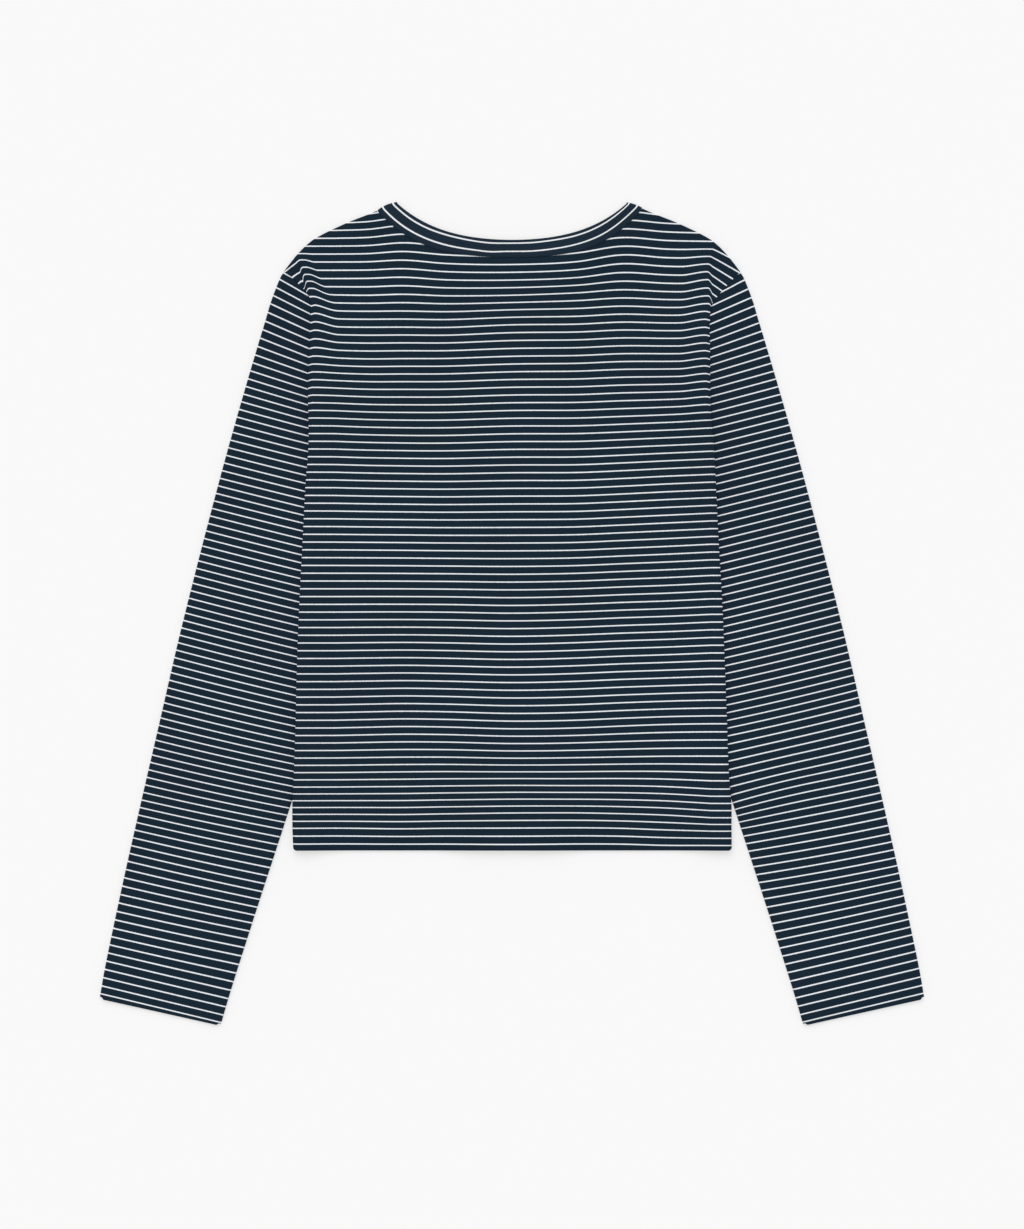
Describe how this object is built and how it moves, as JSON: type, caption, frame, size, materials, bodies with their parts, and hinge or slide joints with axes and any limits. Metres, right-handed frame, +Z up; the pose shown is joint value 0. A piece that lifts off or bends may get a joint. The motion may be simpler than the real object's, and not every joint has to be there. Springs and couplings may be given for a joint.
{
  "type": "cardigan",
  "caption": "Slim round-necked cardigan in fine striped jersey, buttoned up and laid flat on its front with the back showing and the long sleeves tucked under the sides.",
  "frame": {"origin": "on the surface it lies on, under the middle of the garment's outline", "axes": "+Z up, out of the garment's back; +Y towards the neck; +X towards the wearer's right"},
  "size_m": [0.6764, 0.6751, 0.0055],
  "materials": {
    "jersey": "fine matt jersey, navy with narrow white stripes",
    "band": "the same jersey cut as a strip, with two white lines along it",
    "button": "dark navy plastic with a soft sheen"
  },
  "bodies": {
    "root": {"back": "jersey", "front_left": "jersey", "front_right": "jersey", "sleeve_left": "jersey", "sleeve_right": "jersey", "neckband": "band", "buttonhole_band": "band", "button_band": "band", "button_1": "button", "button_2": "button", "button_3": "button", "button_4": "button", "button_5": "button", "button_6": "button", "button_7": "button"}
  },
  "joints": []
}
